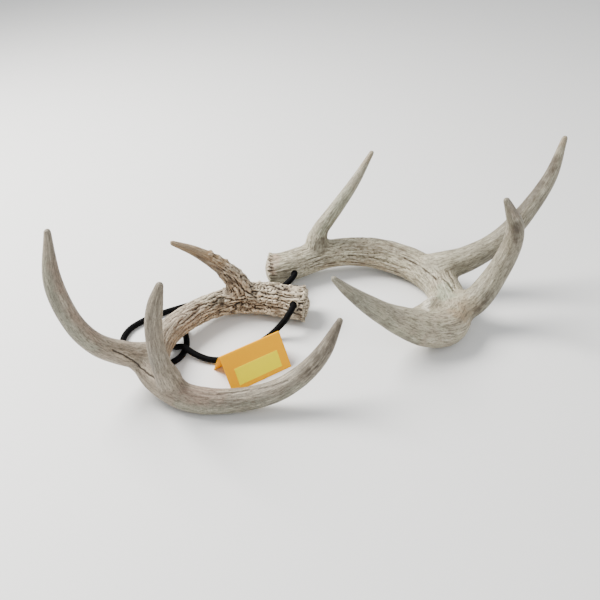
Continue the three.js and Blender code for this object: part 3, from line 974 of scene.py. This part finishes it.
leftBone = {
    "pale": (0.42, 0.345, 0.25), "cream": (0.78, 0.68, 0.51), "grey": (0.305, 0.283, 0.222),
    "warm": (0.315, 0.243, 0.186), "brown": (0.024, 0.015, 0.009), "dark": (0.078, 0.06, 0.04),
    "pink": (0.34, 0.222, 0.165), "green": (0.28, 0.30, 0.222), "tan": (0.27, 0.155, 0.048),
    "rust": (0.10, 0.07, 0.038), "streaks": 0.55,
}
rightBone = {
    "pale": (0.47, 0.43, 0.295), "cream": (0.76, 0.71, 0.57), "grey": (0.37, 0.355, 0.265),
    "warm": (0.42, 0.335, 0.255), "brown": (0.04, 0.027, 0.015), "dark": (0.10, 0.082, 0.054),
    "pink": (0.43, 0.27, 0.20), "green": (0.28, 0.33, 0.228), "tan": (0.33, 0.22, 0.11),
    "rust": (0.14, 0.10, 0.056), "streaks": 0.65,
}
boneGrain = {
    "blotch": (48, 3),  # scale, detail
    "cloud": (120, 4),
    "pores": (800, 4),
    "wideStreaks": (2.0, 15, 5),  # width and length in mm, detail
    "fineStreaks": (0.85, 4.5, 3),
    "bump": (0.8, 0.7),  # strength, depth in mm
}


def mixColour(tree, share, first, second):
    first, second = ((*colour, 1) if isinstance(colour, tuple) else colour for colour in (first, second))
    return addNode(tree, "ShaderNodeMix", {0: share, 6: first, 7: second}, data_type="RGBA").outputs[2]


def boneMaterial(name, palette):
    material, tree, shader = newMaterial(name)

    def read(attribute, output="Fac"):
        return addNode(tree, "ShaderNodeAttribute", attribute_name=attribute).outputs[output]

    def streaks(width, length, detail):  # noise drawn out along the grain of the nearer limb
        drawn = []
        for attribute in ("grainBeam", "grainTine"):
            scaled = addNode(tree, "ShaderNodeVectorMath", {
                0: read(attribute, "Vector"), 1: (1 / width, 1 / width, 1 / length)}, operation="MULTIPLY")
            drawn.append(addNode(tree, "ShaderNodeTexNoise", {
                "Vector": scaled.outputs[0], "Scale": 1, "Detail": detail}).outputs["Fac"])
        return addNode(tree, "ShaderNodeMix", {0: read("tineShare"), 2: drawn[0], 3: drawn[1]}).outputs[0]

    def spread(value, low, high):
        node = addNode(tree, "ShaderNodeMapRange", {"Value": value, "From Min": low, "From Max": high})
        return node.outputs[0]

    def slope(value, gain, base):
        return maths(tree, "MULTIPLY_ADD", value, gain, base)

    def times(*values):
        result = values[0]
        for value in values[1:]:
            result = maths(tree, "MULTIPLY", result, value, clamp=True)
        return result

    blotch, cloud, pores = (objectNoise(tree, *boneGrain[key]) for key in ("blotch", "cloud", "pores"))
    wide, fine = (streaks(*boneGrain[key]) for key in ("wideStreaks", "fineStreaks"))
    hollow, dip, coarse, stain = (read(key) for key in ("hollow", "dip", "coarse", "stain"))

    # ridge: cream on convex bumps and ridges, partly pale worn bone and partly painted highlight
    ridge = times(spread(hollow, 0.0, -1.0), spread(dip, 0.6, -0.6), slope(coarse, 0.8, 0.12))
    tinted = slope(cloud, 0.6, 0.45)
    layers = [  # each covers the ones before it
        (times(read("warmth"), spread(cloud, 0.3, 0.65)), "warm"),
        (times(read("green"), tinted), "green"),
        (times(read("pink"), tinted), "pink"),
        (times(read("tan"), tinted), "tan"),
        (times(read("darkening"), slope(wide, 1.2, 0.35)), "dark"),
        # partly painted highlight: cream over the ridges and the pale marks
        (maths(tree, "MAXIMUM", ridge, read("pale")), "cream"),
        (times(spread(wide, 0.45, 0.3), 0.28), "cream"),
        (times(spread(wide, 0.5, 0.66), slope(read("channel"), 0.6, 0.08)), "dark"),
        (times(spread(fine, 0.51, 0.6), palette["streaks"]), "dark"),
        (times(coarse, spread(cloud, 0.45, 0.62), stain, 0.75), "rust"),
        (times(read("dark"), spread(cloud, 0.25, 0.6), 0.8), "brown"),
        # brown in fine hollows and broad dips: partly stain held in the furrows, partly painted shade in
        # recesses and crotches
        (times(spread(hollow, 0.1, 1.1), slope(stain, 0.75, 0.3)), "brown"),
        (times(spread(dip, 0.3, 1.4), slope(stain, 0.7, 0.1)), "brown"),
        (times(spread(read("cut"), 0.15, 0.8), 0.85), "brown"),
        (times(spread(pores, 0.5, 0.7), 0.4), "dark"),
    ]
    greying = maths(tree, "ADD", read("greying"), slope(blotch, 1.6, -0.8), clamp=True)
    colour = mixColour(tree, greying, palette["pale"], palette["grey"])
    for share, paint in layers:
        colour = mixColour(tree, share, colour, palette[paint])

    rough = addNode(tree, "ShaderNodeMapRange", {
        "Value": coarse, "From Min": 0.0, "From Max": 0.5, "To Min": 0.52, "To Max": 0.82})
    texture = maths(tree, "ADD", maths(tree, "MULTIPLY", fine, 0.8), maths(tree, "MULTIPLY", pores, 0.4))
    feed(tree, shader, {
        "Base Color": colour, "Roughness": rough.outputs[0], "Specular IOR Level": 0.35,
        "Normal": bumped(tree, texture, *boneGrain["bump"])})
    return material


for antler, palette in ((leftAntler, leftBone), (rightAntler, rightBone)):
    side = antler["name"]
    bone = antlerMesh(antler, boneMaterial(side + "Bone", palette))
    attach(bone, "root")
    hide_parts(*sorted(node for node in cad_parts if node.startswith(side) and "knot" not in node))
    print(side, "antler made,", len(bone.data.polygons), "faces")

# card and sticker

cardShape = {
    "middle": (-77, -54),
    "heading": 23.5,  # degrees from +X
    "width": 58,
    "height": 29,
    "spread": 36,
    "thickness": 0.5,
    "foldRadius": 0.9,
    "foldRise": 0.495,  # of its round top
    "bow": 0.5,  # how far a flap bellies out
    "grid": (30, 26),  # points across, and down each flap
}
stickerShape = {
    "size": (42, 15),
    "inset": (8, 15),  # from the card's left edge and from the fold
    "thickness": 0.12,
    "lift": 0.06,
    "curl": 0.9,  # of the left edge
    "curlReach": 4,
    "grid": (36, 14),
}
cardLook = {"colour": (1.0, 0.41, 0.0), "shade": (1.0, 0.49, 0.0), "roughness": 0.75, "fibre": 900}
stickerLook = {"colour": (1.0, 0.80, 0.0), "shade": (1.0, 0.86, 0.0), "roughness": 0.55, "fibre": 1400}


def flapPoint(front, down, outwards=0.0):
    # a place on a flap's outer face, down from the fold, in the card's own frame (y, z)
    half, height = cardShape["spread"] / 2, cardShape["height"]
    slope = math.hypot(half, height)
    share = down / slope
    belly = cardShape["bow"] * math.sin(math.pi * share) + outwards
    y = half * share + belly * height / slope
    z = height * (1 - share) + belly * half / slope
    return (-y if front else y, z)


def turnCard(points):
    heading = math.radians(cardShape["heading"])
    x, y, z = np.asarray(points, float).T
    middle = cardShape["middle"]
    return np.stack([middle[0] + x * math.cos(heading) - y * math.sin(heading),
                     middle[1] + x * math.sin(heading) + y * math.cos(heading), z], axis=1)


def sheetSolid(name, rows, thickness, material):
    # rows of points become a grid, thickened away from its outer face
    count, width = len(rows), len(rows[0])
    points = turnCard([point for row in rows for point in row])
    faces = [(r * width + c, r * width + c + 1, (r + 1) * width + c + 1, (r + 1) * width + c)
             for r in range(count - 1) for c in range(width - 1)]
    mesh = plainMesh(name, points, faces)
    mesh.materials.append(material)
    thing = newObject(name, mesh)
    solid = thing.modifiers.new("thickness", "SOLIDIFY")
    solid.thickness = thickness * mm
    solid.offset = -1
    bevel = thing.modifiers.new("edges", "BEVEL")
    bevel.width = thickness * 0.25 * mm
    bevel.segments = 1
    bevel.limit_method = "ANGLE"
    bevel.angle_limit = math.radians(60)
    shadeSmooth(settle(thing))
    return thing


def paperMaterial(name, look):
    material, tree, shader = newMaterial(name)
    cloud, fibre = objectNoise(tree, 40, 3), objectNoise(tree, look["fibre"], 5)
    mixed = maths(tree, "ADD", maths(tree, "MULTIPLY", cloud, 0.6), maths(tree, "MULTIPLY", fibre, 0.4))
    feed(tree, shader, {
        "Base Color": mixColour(tree, mixed, look["colour"], look["shade"]), "Roughness": look["roughness"],
        "Specular IOR Level": 0.06, "Normal": bumped(tree, fibre, 0.25, 0.1)})
    return material


def makeCard():
    slope = math.hypot(cardShape["spread"] / 2, cardShape["height"])
    columns, rows = cardShape["grid"]
    across = np.linspace(-cardShape["width"] / 2, cardShape["width"] / 2, columns)
    downs = np.linspace(slope, cardShape["foldRadius"] * 1.6, rows)
    profile = [flapPoint(True, down) for down in downs]
    profile += [flapPoint(False, down) for down in downs[::-1]]
    rounded = []
    for index, (y, z) in enumerate(profile):
        rounded.append((y, max(z, 0.05)))
        if index == len(downs) - 1:  # the fold's round top
            following = profile[index + 1]
            for share in (0.25, 0.5, 0.75):
                top = z + math.sin(math.pi * share) * cardShape["foldRise"]
                rounded.append((y + (following[0] - y) * share, top))
    grid = [[(x, y, z) for x in across] for y, z in rounded]
    return sheetSolid("foldedCard", grid, cardShape["thickness"], paperMaterial("orangeCard", cardLook))


def makeSticker():
    width, height = stickerShape["size"]
    inset, down = stickerShape["inset"]
    columns, rows = stickerShape["grid"]
    left = inset - cardShape["width"] / 2
    grid = []
    for low in np.linspace(down + height, down, rows):
        row = []
        for x in np.linspace(left, left + width, columns):
            curl = stickerShape["curl"] * max(0, 1 - (x - left) / stickerShape["curlReach"])**2
            y, z = flapPoint(True, low, stickerShape["lift"] + stickerShape["thickness"] + curl)
            row.append((x, y, z))
        grid.append(row)
    paper = paperMaterial("yellowPaper", stickerLook)
    return sheetSolid("yellowLabel", grid, stickerShape["thickness"], paper)


for piece, node in ((makeCard(), "card"), (makeSticker(), "sticker")):
    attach(piece, "root")
    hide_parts(node)
print("card made")

# floor and light

stageLook = {
    "floor": (0.80, 0.80, 0.785),
    "reach": 3.0,  # places, sizes and reach in metres
    "lights": {
        "key": {"place": (-0.75, 0.45, 1.0), "size": 0.7, "watts": 50, "colour": (1.0, 0.98, 0.95)},
        "fill": {"place": (0.6, -1.2, 1.3), "size": 1.4, "watts": 12, "colour": (0.96, 0.98, 1.0)},
    },
    "room": (0.95, 0.97, 1.0),
    "roomStrength": 0.72,
}


def makeFloor():
    reach = stageLook["reach"] * 1000
    corners = [(-reach, -reach, 0), (reach, -reach, 0), (reach, reach, 0), (-reach, reach, 0)]
    mesh = plainMesh("floor", corners, [(0, 1, 2, 3)])
    material, tree, shader = newMaterial("paleTable")
    feed(tree, shader, {"Base Color": (*stageLook["floor"], 1), "Roughness": 0.55, "Specular IOR Level": 0.3})
    mesh.materials.append(material)
    floor = newObject("floor", mesh)


def makeLight(name, look):  # aimed at the origin
    light = bpy.data.lights.new(name, "AREA")
    light.size = look["size"]
    light.energy = look["watts"]
    light.color = look["colour"]
    place = Vector(look["place"])
    turn = (-place).to_track_quat("-Z", "Y").to_matrix().to_4x4()
    newObject(name, light).matrix_world = Matrix.Translation(place) @ turn


def makeRoom():
    world = bpy.data.worlds.new("room")
    world.use_nodes = True
    feed(world.node_tree, world.node_tree.nodes["Background"], {
        "Color": (*stageLook["room"], 1), "Strength": stageLook["roomStrength"]})
    bpy.context.scene.world = world


makeFloor()
for name, look in stageLook["lights"].items():
    makeLight(name, look)
makeRoom()
print("stage set")
